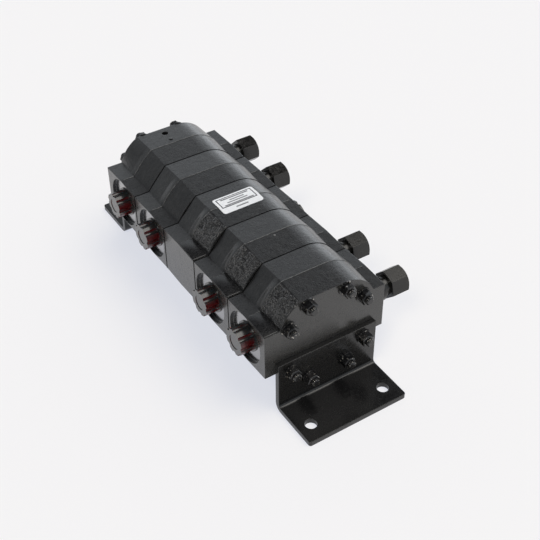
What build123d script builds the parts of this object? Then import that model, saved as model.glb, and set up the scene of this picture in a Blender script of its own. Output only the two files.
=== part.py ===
from build123d import *
import os
from math import acos, cos, pi, radians, sin, tan

# A rotary gear flow divider in four gear sections about one inlet section, with a relief
# valve on each gear section and an angle bracket under each end.
# Millimetres. X runs across the casting, Y along it from the front end, Z up.
# The origin is at the middle of the four feet holes, on the mounting plane.

# Castings
gear_section_length = 76.2
inlet_section_length = 73.0
body_width = 160.0
pad_height = 64.6
crown_height = 124.0
crown_left_edge = 34.0
dome_left_foot = 61.5
crown_right_edge = 22.0
dome_right_radius = 46.0
draft_angle = 2.5
end_wall = 22.2
axis_height = 85.3

# Gears
gear_module = 4.5
gear_teeth = 10
pressure_angle = 25.0
gear_backlash = 0.3
drive_tooth_angle = 90.0
tip_shortening = 0.1
root_depth_factor = 1.25
flank_steps = 4
flank_foot_lift = 0.01
chamber_clearance = 0.25
journal_radius = 11.0
block_thickness = 12.0
bush_wall = 1.5
quill_core_radius = 5.4
quill_spline_radius = 7.0
quill_spline_width = 2.6
quill_teeth = 6
quill_bore_radius = 8.6
quill_engagement = 22.0

# Running fit and seating gaps
running_clearance = 0.05
face_clearance = 0.05
seat_gap = 0.02

# Tie studs, nuts and washers
stud_radius = 4.76
stud_hole_radius = 5.2
stud_wide_x = 49.6
stud_wide_z = 29.8
stud_high_x = 25.1
stud_high_z = 51.8
stud_overhang = 4.5
stud_chamfer = 0.9
nut_across_flats = 14.29
nut_thickness = 8.3
nut_chamfer = 0.9
nut_turn = 17.0
washer_radius = 9.6
washer_thickness = 1.6

# Outlet ports and their shipping plugs
port_from_outer_face = 40.8
port_recess_radius = 31.4
port_recess_depth = 4.5
port_thread_radius = 13.5
port_thread_depth = 19.0
port_drill_radius = 9.5
plug_head_radius = 16.6
plug_head_length = 18.7
plug_flange_radius = 18.6
plug_flange_thickness = 1.5
plug_stem_length = 14.0
plug_flutes = 8
plug_flute_radius = 3.6
plug_flute_offset = 1.4
plug_dish_radius = 9.0
plug_dish_depth = 0.6
inlet_plug_rim = 2.0

# Inlet port
inlet_recess_radius = 30.0
inlet_recess_depth = 1.5
inlet_thread_radius = 19.0
inlet_thread_depth = 24.0
inlet_plug_head_radius = 21.5
inlet_plug_head_length = 12.0
gallery_radius = 8.0
gallery_x = 46.0
inlet_passage_radius = 12.0

# Relief valves
relief_from_outer_face = 25.4
relief_thread_radius = 13.4
relief_thread_depth = 22.0
relief_nose_radius = 9.6
relief_nose_depth = 46.0
relief_guide_radius = 7.05
relief_seat_length = 10.0
relief_seat_radius = 4.0
relief_collar_radius = 15.6
relief_collar_length = 13.0
relief_neck_radius = 12.0
relief_neck_length = 26.0
relief_spring_bore_radius = 8.0
relief_cap_across_flats = 31.75
relief_cap_start = 21.5
relief_cap_length = 24.5
relief_cap_turn = 15.0
relief_cap_end_wall = 5.0
relief_cap_chamfer = 2.2
relief_cap_end_margin = 1.0
relief_sleeve_gap = 4.0
poppet_length = 19.0
poppet_cup_depth = 8.0
poppet_lift = 2.5
poppet_nose_radius = 1.0
spring_side_clearance = 0.4
spring_wire_radius = 0.9
spring_mean_radius = 4.9
spring_coils = 7
adjuster_length = 14.0
adjuster_inset = 22.0
adjuster_socket_across_flats = 6.0

# Seals and dowels
seal_wire_radius = 1.3
chamber_seal_offset = 3.2
gallery_seal_radius = 10.6
dowel_radius = 4.0
dowel_length = 16.0
dowel_left_x = 55.0
dowel_right_x = 62.0

# Brackets
bracket_width = 132.8
bracket_thickness = 6.35
bracket_top_below_axis = 14.4
bracket_reach = 68.5
bracket_bend_radius = 4.0
foot_hole_radius = 7.15
foot_hole_spacing = 99.8
foot_hole_from_end = 46.4
foot_corner_radius = 3.0

# Top details of the rear section
lifting_hole_radius = 4.2
lifting_hole_depth = 16.0
lifting_hole_from_end = 12.7
drive_screw_from_end = 28.7
drive_screw_head_radius = 2.6
drive_screw_head_height = 1.0
drive_screw_shank_radius = 1.6
drive_screw_length = 6.0
drive_screw_hole_depth = 9.0

# Label on the crown of the inlet section
label_width = 55.0
label_length = 31.0
label_thickness = 0.4
label_corner_radius = 3.5
label_centre_x = 3.5

body_length = 4 * gear_section_length + inlet_section_length
front_y = -body_length / 2
rear_y = body_length / 2
half_width = body_width / 2
pitch_radius = gear_module * gear_teeth / 2
tip_radius = pitch_radius + gear_module - tip_shortening
root_radius = pitch_radius - root_depth_factor * gear_module
base_radius = pitch_radius * cos(radians(pressure_angle))
flank_foot = base_radius + flank_foot_lift
chamber_radius = tip_radius + chamber_clearance
seal_groove_depth = 2 * (seal_wire_radius + seat_gap)
chamber_depth = gear_section_length - end_wall
gear_width = chamber_depth - 2 * (block_thickness + face_clearance)
bush_outer_radius = journal_radius + running_clearance + bush_wall
stud_places = [
    (side_x * x, side_z * z)
    for x, z in ((stud_wide_x, stud_wide_z), (stud_high_x, stud_high_z))
    for side_x in (-1, 1)
    for side_z in (-1, 1)
]

# Each gear section: the Y of its outer face, and the way from there to its inner face.
# Sections one and two stand in front of the inlet section, three and four behind it.
sections = {
    1: (front_y, 1),
    2: (front_y + gear_section_length, 1),
    3: (rear_y - gear_section_length, -1),
    4: (rear_y, -1),
}
# How far the left slopes of each casting's front half bulge beyond the flat.
front_crowning = {1: 4.0, 2: 4.0, "inlet": 4.0, 3: 2.0, 4: 1.2}
flat_crowning = 0.4
end_crowning = 4.0


def across(y, facing=1):
    """A plane across the casting at y, whose normal looks along +Y or -Y."""
    return Plane(origin=(0, y, axis_height), x_dir=(1, 0, 0), z_dir=(0, facing, 0))


def sideways(x, y, facing=1):
    """A plane on the casting's side at x, centred on a port, looking along +X or -X."""
    return Plane(origin=(x, y, axis_height), x_dir=(0, 1, 0), z_dir=(facing, 0, 0))


def finish(builder, name):
    builder.part.label = name
    export_step(builder.part, f"parts/{name}.step")


def draw_casting(y, inset, crowning):
    """Outline of a casting across Y: side pads, flat crown, left slope and right curve."""
    top = crown_height / 2 - inset
    shoulder = pad_height / 2 - inset
    centre_z = crown_height / 2 - dome_right_radius
    reach = (dome_right_radius - inset) ** 2 - (shoulder - centre_z) ** 2
    dome_right_foot = crown_right_edge + reach ** 0.5
    arc_middle = radians(45)
    with BuildSketch(across(y)) as outline:
        with BuildLine():
            Polyline(
                (-half_width, 0),
                (-half_width, shoulder),
                (-dome_left_foot + inset, shoulder),
            )
            SagittaArc((-dome_left_foot + inset, shoulder), (-crown_left_edge, top), crowning)
            Line((-crown_left_edge, top), (crown_right_edge, top))
            ThreePointArc(
                (crown_right_edge, top),
                (
                    crown_right_edge + (dome_right_radius - inset) * sin(arc_middle),
                    centre_z + (dome_right_radius - inset) * cos(arc_middle),
                ),
                (dome_right_foot, shoulder),
            )
            Polyline((dome_right_foot, shoulder), (half_width, shoulder), (half_width, 0))
            mirror(about=Plane.XZ)
        make_face()
    return outline


def crown_z(distance_from_ridge):
    """Height of the drafted crown at a distance along Y from a casting's ridge."""
    return axis_height + crown_height / 2 - tan(radians(draft_angle)) * abs(distance_from_ridge)


def build_shell(y_front, length, crowning, front_bulge, rear_bulge):
    """Both drafted halves of a casting, which meet in a ridge at mid length."""
    inset = tan(radians(draft_angle)) * length / 2
    middle = y_front + length / 2
    front_half = [draw_casting(y_front, inset, front_bulge), draw_casting(middle, 0, crowning)]
    rear_half = [
        draw_casting(middle, 0, flat_crowning),
        draw_casting(y_front + length, inset, rear_bulge),
    ]
    loft([outline.sketch for outline in front_half], ruled=True)
    loft([outline.sketch for outline in rear_half], ruled=True)


def drill_studs(y_front, length):
    with BuildSketch(across(y_front)) as holes:
        with Locations(*stud_places):
            Circle(stud_hole_radius)
    extrude(holes.sketch, amount=length, mode=Mode.SUBTRACT)


def drill_dowels(y, facing):
    with BuildSketch(across(y, facing)) as holes:
        with Locations((-dowel_left_x, 0), (dowel_right_x, 0)):
            Circle(dowel_radius + seat_gap)
    extrude(holes.sketch, amount=dowel_length / 2 + seat_gap, mode=Mode.SUBTRACT)


def cut_seal_grooves(y, facing):
    """Grooves for the chamber seal and the gallery seal in a casting's open face."""
    groove = seal_wire_radius + seat_gap
    with BuildSketch(across(y, facing)) as grooves:
        SlotCenterToCenter(
            2 * pitch_radius, 2 * (chamber_radius + chamber_seal_offset + groove), rotation=90
        )
        SlotCenterToCenter(
            2 * pitch_radius,
            2 * (chamber_radius + chamber_seal_offset - groove),
            rotation=90,
            mode=Mode.SUBTRACT,
        )
        with Locations((gallery_x, 0)):
            Circle(gallery_seal_radius + groove)
            Circle(gallery_seal_radius - groove, mode=Mode.SUBTRACT)
    extrude(grooves.sketch, amount=seal_groove_depth, mode=Mode.SUBTRACT)


def build_gear_section(number):
    outer_y, facing = sections[number]
    inner_y = outer_y + facing * gear_section_length
    y_front = min(outer_y, inner_y)
    port_y = outer_y + facing * port_from_outer_face
    relief_y = outer_y + facing * relief_from_outer_face
    gear_middle_y = outer_y + facing * (end_wall + block_thickness + gear_width / 2)
    front_bulge = end_crowning if number == 1 else front_crowning[number]
    rear_bulge = end_crowning if number == 4 else flat_crowning
    with BuildPart() as section:
        build_shell(
            y_front, gear_section_length, front_crowning[number], front_bulge, rear_bulge
        )
        drill_studs(y_front, gear_section_length)
        # Gear chamber, open towards the inner face
        with BuildSketch(across(outer_y + facing * end_wall, facing)):
            with Locations((0, pitch_radius), (0, -pitch_radius)):
                Circle(chamber_radius)
        extrude(amount=chamber_depth, mode=Mode.SUBTRACT)
        cut_seal_grooves(inner_y, -facing)
        drill_dowels(inner_y, -facing)
        # Outlet port on the left
        with Locations(sideways(-half_width, port_y, -1)):
            Hole(port_recess_radius, port_recess_depth)
            Hole(port_thread_radius, port_recess_depth + port_thread_depth)
            Hole(port_drill_radius, half_width - pitch_radius / 2)
        # Relief valve bore on the right, and its way into the gallery
        with Locations(sideways(half_width, relief_y)):
            Hole(relief_thread_radius + seat_gap, relief_thread_depth)
            Hole(relief_nose_radius, relief_nose_depth)
        # Inlet gallery, and its passage into the gear chamber
        gallery_length = gear_section_length
        if number in (1, 4):
            gallery_length = gear_section_length - relief_from_outer_face
        with BuildSketch(across(inner_y, -facing)):
            with Locations((gallery_x, 0)):
                Circle(gallery_radius)
        extrude(amount=gallery_length, mode=Mode.SUBTRACT)
        with BuildSketch(sideways(gallery_x, gear_middle_y, -1)):
            Circle(gallery_radius)
        extrude(amount=gallery_x - pitch_radius / 2, mode=Mode.SUBTRACT)
        # The inner sections pass the drive quill and meet the next section
        if number in (2, 3):
            with BuildSketch(across(outer_y, facing)):
                with Locations((0, drive_side(facing))):
                    Circle(quill_bore_radius)
            extrude(amount=end_wall, mode=Mode.SUBTRACT)
            drill_dowels(outer_y, facing)
        if number == 4:
            crown_top = axis_height + crown_height / 2
            with Locations((0, rear_y - lifting_hole_from_end, crown_top)):
                Hole(lifting_hole_radius, lifting_hole_depth)
            with Locations((0, rear_y - drive_screw_from_end, crown_top)):
                Hole(drive_screw_shank_radius + seat_gap, drive_screw_hole_depth)
    return section


def drive_side(facing):
    """Local Y of the drive shaft, which lies above the centre line."""
    return -pitch_radius * facing


def involute(angle):
    return tan(angle) - angle


def tooth_half_angle(radius):
    at_pitch = (pi * gear_module / 2 - gear_backlash / 2) / (2 * pitch_radius)
    return at_pitch + involute(radians(pressure_angle)) - involute(acos(base_radius / radius))


def polar(radius, angle):
    return (radius * cos(angle), radius * sin(angle))


def draw_gear(plane, first_tooth):
    """Full spur gear outline, its first tooth pointing at the angle first_tooth."""
    with BuildSketch(plane) as gear:
        with BuildLine():
            for tooth in range(gear_teeth):
                middle = radians(first_tooth) + tooth * 2 * pi / gear_teeth
                radii = [
                    flank_foot + (tip_radius - flank_foot) * step / flank_steps
                    for step in range(flank_steps + 1)
                ]
                rising = [polar(r, middle - tooth_half_angle(r)) for r in radii]
                falling = [polar(r, middle + tooth_half_angle(r)) for r in reversed(radii)]
                foot_angle = tooth_half_angle(flank_foot)
                next_foot = middle + 2 * pi / gear_teeth - foot_angle
                Line(polar(root_radius, middle - foot_angle), rising[0])
                Spline(*rising)
                ThreePointArc(rising[-1], polar(tip_radius, middle), falling[0])
                Spline(*falling)
                Line(falling[-1], polar(root_radius, middle + foot_angle))
                ThreePointArc(
                    polar(root_radius, middle + foot_angle),
                    polar(root_radius, middle + pi / gear_teeth),
                    polar(root_radius, next_foot),
                )
        make_face()
    return gear


def draw_quill(extra):
    Circle(quill_core_radius + extra)
    with PolarLocations(0, quill_teeth):
        with Locations((quill_spline_radius / 2 + extra / 2, 0)):
            Rectangle(quill_spline_radius + extra, quill_spline_width + 2 * extra)


def shaft_plane(y, height):
    return Plane(origin=(0, y, axis_height + height), x_dir=(1, 0, 0), z_dir=(0, -1, 0))


def build_gear(number, height, first_tooth, hollow):
    """A gear and its two journals in one piece of steel."""
    outer_y, facing = sections[number]
    middle_y = outer_y + facing * (end_wall + chamber_depth / 2)
    shaft_length = chamber_depth - 2 * face_clearance
    with BuildPart() as gear:
        teeth = draw_gear(shaft_plane(middle_y, height), first_tooth)
        extrude(teeth.sketch, amount=gear_width / 2, both=True)
        with BuildSketch(shaft_plane(middle_y, height)):
            Circle(journal_radius)
        extrude(amount=shaft_length / 2, both=True)
        if hollow:
            with BuildSketch(shaft_plane(middle_y, height)):
                draw_quill(running_clearance)
            extrude(amount=shaft_length / 2, both=True, mode=Mode.SUBTRACT)
    return gear


def build_blocks(number):
    """The two bearing blocks that stand on either side of the gears."""
    outer_y, facing = sections[number]
    starts = (end_wall, gear_section_length - block_thickness)
    with BuildPart() as blocks:
        for start in starts:
            with BuildSketch(across(outer_y + facing * start, facing)):
                with Locations((0, pitch_radius), (0, -pitch_radius)):
                    Circle(chamber_radius - seat_gap)
                with Locations((0, pitch_radius), (0, -pitch_radius)):
                    Circle(bush_outer_radius, mode=Mode.SUBTRACT)
            extrude(amount=block_thickness)
    return blocks


def build_bushes(number):
    outer_y, facing = sections[number]
    starts = (end_wall, gear_section_length - block_thickness)
    with BuildPart() as bushes:
        for start in starts:
            with BuildSketch(across(outer_y + facing * start, facing)):
                with Locations((0, pitch_radius), (0, -pitch_radius)):
                    Circle(bush_outer_radius - seat_gap)
                with Locations((0, pitch_radius), (0, -pitch_radius)):
                    Circle(journal_radius + running_clearance, mode=Mode.SUBTRACT)
            extrude(amount=block_thickness)
    return bushes


def relief_x(depth):
    """X of a place on a relief valve, measured outwards from the casting's side."""
    return half_width + depth


def revolve_about_relief(y, points):
    """Turns a profile of (distance along the valve, radius) points about its axis."""
    half_section = Plane(origin=(0, y, axis_height), x_dir=(1, 0, 0), z_dir=(0, -1, 0))
    with BuildSketch(half_section) as profile:
        with BuildLine():
            Polyline(*[(relief_x(along), radius) for along, radius in points], close=True)
        make_face()
    revolve(profile.sketch, axis=Axis((0, y, axis_height), (1, 0, 0)))


def relief_y_of(number):
    outer_y, facing = sections[number]
    return outer_y + facing * relief_from_outer_face


seat_face = -relief_nose_depth + relief_seat_length
sleeve_start = seat_face + relief_sleeve_gap
guide_end = seat_face + poppet_length + poppet_lift
neck_end = relief_collar_length + relief_neck_length
adjuster_start = neck_end - adjuster_inset
cup_floor = seat_face + poppet_length - poppet_cup_depth


def build_relief_body(number):
    """Valve housing: nose sleeve, threaded shank, round collar and a neck for the cap."""
    with BuildPart() as housing:
        revolve_about_relief(
            relief_y_of(number),
            [
                (sleeve_start, relief_guide_radius),
                (sleeve_start, relief_nose_radius - running_clearance),
                (-relief_thread_depth, relief_nose_radius - running_clearance),
                (-relief_thread_depth, relief_thread_radius),
                (0, relief_thread_radius),
                (0, relief_collar_radius),
                (relief_collar_length, relief_collar_radius),
                (relief_collar_length, relief_neck_radius),
                (neck_end, relief_neck_radius),
                (neck_end, relief_spring_bore_radius),
                (guide_end, relief_spring_bore_radius),
                (guide_end, relief_guide_radius),
            ],
        )
    return housing


def build_relief_cap(number):
    """Blind hexagon cap over the adjusting screw, its outer end turned to a chamfer."""
    y = relief_y_of(number)
    corner_radius = relief_cap_across_flats / 2 / cos(radians(30))
    bore_depth = relief_cap_length - relief_cap_end_wall
    end = relief_cap_start + relief_cap_length
    end_radius = relief_cap_across_flats / 2 - relief_cap_end_margin
    with BuildPart() as cap:
        with BuildSketch(sideways(relief_x(relief_cap_start), y)):
            RegularPolygon(corner_radius, 6, rotation=relief_cap_turn)
        extrude(amount=relief_cap_length)
        with BuildSketch(sideways(relief_x(relief_cap_start), y)):
            Circle(relief_neck_radius + running_clearance)
        extrude(amount=bore_depth, mode=Mode.SUBTRACT)
        with BuildSketch(Plane(origin=(0, y, axis_height), x_dir=(1, 0, 0), z_dir=(0, -1, 0))):
            with BuildLine():
                Polyline(
                    (relief_x(end - relief_cap_chamfer), corner_radius),
                    (relief_x(end), end_radius),
                    (relief_x(end), corner_radius),
                    close=True,
                )
            make_face()
        revolve(axis=Axis((0, y, axis_height), (1, 0, 0)), mode=Mode.SUBTRACT)
    return cap


def build_poppet(number):
    """Cone-nosed poppet, cupped behind for its spring."""
    guide = relief_guide_radius - running_clearance
    seat = relief_seat_radius - seat_gap
    nose_radius = poppet_nose_radius
    cup_radius = spring_mean_radius + spring_wire_radius + spring_side_clearance
    with BuildPart() as poppet:
        revolve_about_relief(
            relief_y_of(number),
            [
                (seat_face - (seat - nose_radius), 0),
                (seat_face - (seat - nose_radius), nose_radius),
                (seat_face + (guide - seat), guide),
                (seat_face + poppet_length, guide),
                (seat_face + poppet_length, cup_radius),
                (cup_floor, cup_radius),
                (cup_floor, 0),
            ],
        )
    return poppet


def build_adjuster(number):
    """Adjusting screw that bears on the spring, with a hexagon socket in its outer end."""
    y = relief_y_of(number)
    with BuildPart() as adjuster:
        with BuildSketch(sideways(relief_x(adjuster_start), y)):
            Circle(relief_spring_bore_radius - running_clearance)
        extrude(amount=adjuster_length)
        with BuildSketch(sideways(relief_x(adjuster_start + adjuster_length), y, -1)):
            RegularPolygon(adjuster_socket_across_flats / 2, 6, major_radius=False)
        extrude(amount=adjuster_length / 2, mode=Mode.SUBTRACT)
    return adjuster


def build_spring(number):
    y = relief_y_of(number)
    start = relief_x(cup_floor) + spring_wire_radius + seat_gap
    length = adjuster_start - cup_floor - 2 * (spring_wire_radius + seat_gap)
    with BuildPart() as spring:
        with BuildLine() as path:
            Helix(
                pitch=length / spring_coils,
                height=length,
                radius=spring_mean_radius,
                center=(start, y, axis_height),
                direction=(1, 0, 0),
            )
        with BuildSketch(Plane(origin=path.line @ 0, z_dir=path.line % 0)):
            RegularPolygon(spring_wire_radius, 6)
        sweep(is_frenet=True)
    return spring


def build_plug(x, y, facing, stem_radius, head_radius, head_length, flange_radius):
    """Moulded shipping plug: fluted head with a dished end, thin flange and a plain stem."""
    with BuildPart() as plug:
        with BuildSketch(sideways(x, y, facing)):
            Circle(flange_radius)
        extrude(amount=plug_flange_thickness)
        with BuildSketch(sideways(x + facing * plug_flange_thickness, y, facing)):
            Circle(head_radius)
            with PolarLocations(head_radius + plug_flute_offset, plug_flutes):
                Circle(plug_flute_radius, mode=Mode.SUBTRACT)
        extrude(amount=head_length - plug_flange_thickness)
        with BuildSketch(sideways(x, y, -facing)):
            Circle(stem_radius - 2 * running_clearance)
        extrude(amount=plug_stem_length)
        with BuildSketch(sideways(x + facing * head_length, y, -facing)):
            Circle(plug_dish_radius)
        extrude(amount=plug_dish_depth, mode=Mode.SUBTRACT)
    return plug


def seal_centre_y(number):
    outer_y, facing = sections[number]
    return outer_y + facing * (gear_section_length - seal_wire_radius - seat_gap)


def build_chamber_seal(number):
    """O-ring in one section's open face, around the gear chamber."""
    centre_y = seal_centre_y(number)
    path_radius = chamber_radius + chamber_seal_offset
    with BuildPart() as seals:
        with BuildLine(across(centre_y)) as path:
            Line((path_radius, -pitch_radius), (path_radius, pitch_radius))
            RadiusArc((path_radius, pitch_radius), (-path_radius, pitch_radius), -path_radius)
            Line((-path_radius, pitch_radius), (-path_radius, -pitch_radius))
            RadiusArc((-path_radius, -pitch_radius), (path_radius, -pitch_radius), -path_radius)
        with BuildSketch(Plane(origin=path.line @ 0, z_dir=path.line % 0)):
            RegularPolygon(seal_wire_radius - seat_gap, 8)
        sweep()
    return seals


def build_gallery_seal(number):
    """O-ring in one section's open face, around the inlet gallery."""
    with BuildPart() as seal:
        with BuildSketch(Plane(origin=(gallery_x, seal_centre_y(number), axis_height))):
            with Locations((gallery_seal_radius, 0)):
                RegularPolygon(seal_wire_radius - seat_gap, 8)
        revolve(axis=Axis((gallery_x, 0, axis_height), (0, 1, 0)))
    return seal


def stack_start(place, facing):
    """Nuts over the bracket stand further out than the others by its thickness."""
    height = -facing * place[1]
    return bracket_thickness if height < 0 else 0


def build_nut(plane, place, turn):
    """A hexagon nut, chamfered round its outer end."""
    with BuildPart() as nut:
        with BuildSketch(plane):
            with Locations(place):
                RegularPolygon(nut_across_flats / 2, 6, major_radius=False, rotation=turn)
        extrude(amount=nut_thickness)
        outer_end = nut.faces().sort_by(Axis(plane.origin, plane.z_dir))[-1]
        chamfer(outer_end.edges(), nut_chamfer)
        with BuildSketch(plane):
            with Locations(place):
                Circle(stud_radius + seat_gap)
        extrude(amount=nut_thickness, mode=Mode.SUBTRACT)
    return nut


end_faces = ((front_y, -1), (rear_y, 1))


def build_bracket(y, facing):
    """Angle bracket bent from plate: bolted to the end face above, foot plate below."""
    half = bracket_width / 2
    foot_top = bracket_thickness
    top = axis_height - bracket_top_below_axis
    outside = bracket_bend_radius + bracket_thickness
    side = Plane(origin=(-half, y, 0), x_dir=(0, facing, 0), z_dir=(facing, 0, 0))
    if facing < 0:
        side = Plane(origin=(half, y, 0), x_dir=(0, -1, 0), z_dir=(-1, 0, 0))
    with BuildPart() as bracket:
        with BuildSketch(side):
            with BuildLine():
                Polyline(
                    (0, outside), (0, top), (bracket_thickness, top), (bracket_thickness, outside)
                )
                RadiusArc(
                    (bracket_thickness, outside), (outside, foot_top), -bracket_bend_radius
                )
                Polyline(
                    (outside, foot_top), (bracket_reach, foot_top), (bracket_reach, 0), (outside, 0)
                )
                RadiusArc((outside, 0), (0, outside), outside)
            make_face()
        extrude(amount=bracket_width)
        corners = bracket.edges().filter_by(Axis.Z).group_by(Axis.Y)[-1 if facing > 0 else 0]
        fillet(corners, foot_corner_radius)
        with Locations((0, y + facing * foot_hole_from_end, foot_top)):
            with GridLocations(foot_hole_spacing, 0, 2, 1):
                Hole(foot_hole_radius)
        with BuildSketch(across(y, facing)):
            with Locations(*[place for place in stud_places if stack_start(place, facing)]):
                Circle(stud_hole_radius)
        extrude(amount=bracket_thickness, mode=Mode.SUBTRACT)
    return bracket


os.makedirs("parts", exist_ok=True)

for number in sections:
    finish(build_gear_section(number), f"gear_section_{number}")

# Inlet section, between the two pairs of gear sections
inlet_front_y = -inlet_section_length / 2
with BuildPart() as inlet_section:
    build_shell(
        inlet_front_y,
        inlet_section_length,
        front_crowning["inlet"],
        front_crowning["inlet"],
        flat_crowning,
    )
    drill_studs(inlet_front_y, inlet_section_length)
    drill_dowels(inlet_front_y, 1)
    drill_dowels(-inlet_front_y, -1)
    with BuildSketch(across(inlet_front_y)):
        with Locations((gallery_x, 0)):
            Circle(gallery_radius)
        with Locations((0, drive_side(1))):
            Circle(quill_bore_radius)
    extrude(amount=inlet_section_length, mode=Mode.SUBTRACT)
    with Locations(sideways(half_width, 0)):
        Hole(inlet_recess_radius, inlet_recess_depth)
        Hole(inlet_thread_radius, inlet_recess_depth + inlet_thread_depth)
        Hole(inlet_passage_radius, half_width - gallery_x)
finish(inlet_section, "inlet_section")

# In mesh: the drive gear has a tooth pointing down, the idler a gap pointing up
half_pitch = 180 / gear_teeth
for number in sections:
    finish(build_gear(number, pitch_radius, drive_tooth_angle, True), f"drive_gear_{number}")
    finish(build_gear(number, -pitch_radius, drive_tooth_angle + half_pitch, False), f"idler_gear_{number}")
    finish(build_blocks(number), f"bearing_blocks_{number}")
    finish(build_bushes(number), f"journal_bushes_{number}")

# Quills that join the drive gears of neighbouring sections end to end
inner_end = gear_section_length - quill_engagement
quills = {
    "front_quill": (front_y + inner_end, front_y + gear_section_length + end_wall + quill_engagement),
    "middle_quill": (inlet_front_y - quill_engagement, -inlet_front_y + quill_engagement),
    "rear_quill": (rear_y - gear_section_length - end_wall - quill_engagement, rear_y - inner_end),
}
for name, (start, end) in quills.items():
    with BuildPart() as quill:
        with BuildSketch(shaft_plane(end, pitch_radius)):
            draw_quill(0)
        extrude(amount=end - start)
    finish(quill, name)

for number in sections:
    finish(build_relief_body(number), f"relief_body_{number}")
    finish(build_relief_cap(number), f"relief_cap_{number}")
    finish(build_poppet(number), f"relief_poppet_{number}")
    finish(build_adjuster(number), f"relief_adjuster_{number}")
    finish(build_spring(number), f"relief_spring_{number}")

# Hardened seats, pressed into the bottom of the relief bores
with BuildPart() as relief_seats:
    for number in sections:
        revolve_about_relief(
            relief_y_of(number),
            [
                (-relief_nose_depth, relief_seat_radius),
                (-relief_nose_depth, relief_nose_radius),
                (seat_face, relief_nose_radius),
                (seat_face, relief_seat_radius),
            ],
        )
finish(relief_seats, "relief_seats")

for number, (outer_y, facing) in sections.items():
    port_y = outer_y + facing * port_from_outer_face
    finish(
        build_plug(
            -half_width + port_recess_depth,
            port_y,
            -1,
            port_thread_radius,
            plug_head_radius,
            plug_head_length,
            plug_flange_radius,
        ),
        f"port_plug_{number}",
    )
finish(
    build_plug(
        half_width - inlet_recess_depth,
        0,
        1,
        inlet_thread_radius,
        inlet_plug_head_radius,
        inlet_plug_head_length,
        inlet_plug_head_radius + inlet_plug_rim,
    ),
    "inlet_plug",
)

with BuildPart() as chamber_seals:
    for number in sections:
        add(build_chamber_seal(number).part)
finish(chamber_seals, "chamber_seals")

with BuildPart() as gallery_seals:
    for number in sections:
        add(build_gallery_seal(number).part)
finish(gallery_seals, "gallery_seals")

with BuildPart() as dowels:
    for face_y in (
        front_y + gear_section_length,
        inlet_front_y,
        -inlet_front_y,
        rear_y - gear_section_length,
    ):
        with BuildSketch(across(face_y)):
            with Locations((-dowel_left_x, 0), (dowel_right_x, 0)):
                Circle(dowel_radius)
        extrude(amount=dowel_length / 2, both=True)
finish(dowels, "dowels")

with BuildPart() as tie_studs:
    for place in stud_places:
        reach = stack_start(place, 1) + washer_thickness + nut_thickness + stud_overhang
        with BuildSketch(across(front_y - reach)):
            with Locations(place):
                Circle(stud_radius)
        extrude(amount=body_length + 2 * reach)
    ends = tie_studs.edges().filter_by(GeomType.CIRCLE)
    chamfer(ends, stud_chamfer)
finish(tie_studs, "tie_studs")

with BuildPart() as washers:
    for y, facing in end_faces:
        for place in stud_places:
            with BuildSketch(across(y + facing * stack_start(place, facing), facing)):
                with Locations(place):
                    Circle(washer_radius)
                    Circle(stud_hole_radius, mode=Mode.SUBTRACT)
            extrude(amount=washer_thickness)
finish(washers, "washers")

with BuildPart() as nuts:
    for y, facing in end_faces:
        for index, place in enumerate(stud_places):
            start = stack_start(place, facing) + washer_thickness
            add(build_nut(across(y + facing * start, facing), place, nut_turn * index).part)
finish(nuts, "nuts")

finish(build_bracket(front_y, -1), "front_bracket")
finish(build_bracket(rear_y, 1), "rear_bracket")

screw_y = rear_y - drive_screw_from_end
screw_seat = crown_z(screw_y - (rear_y - gear_section_length / 2)) + drive_screw_head_radius * tan(
    radians(draft_angle)
)
with BuildPart() as drive_screw:
    with Locations((0, screw_y, screw_seat)):
        Cylinder(
            drive_screw_head_radius,
            drive_screw_head_height,
            align=(Align.CENTER, Align.CENTER, Align.MIN),
        )
        Cylinder(
            drive_screw_shank_radius,
            drive_screw_length,
            align=(Align.CENTER, Align.CENTER, Align.MAX),
        )
finish(drive_screw, "drive_screw")

# The label follows the crown over the casting's ridge
with BuildPart() as label_plate:
    with BuildSketch(Plane(origin=(label_centre_x, 0, 0), x_dir=(0, 1, 0), z_dir=(1, 0, 0))):
        with BuildLine():
            Polyline(
                (-label_length / 2, crown_z(label_length / 2)),
                (0, crown_z(0)),
                (label_length / 2, crown_z(label_length / 2)),
                (label_length / 2, crown_z(label_length / 2) + label_thickness),
                (0, crown_z(0) + label_thickness),
                (-label_length / 2, crown_z(label_length / 2) + label_thickness),
                close=True,
            )
        make_face()
    extrude(amount=label_width / 2, both=True)
    fillet(label_plate.edges().filter_by(Axis.Z), label_corner_radius)
finish(label_plate, "label_plate")
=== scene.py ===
import math

import bmesh
import bpy
from mathutils import Matrix, Vector
from mathutils import noise as mnoise
from mathutils.bvhtree import BVHTree


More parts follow.
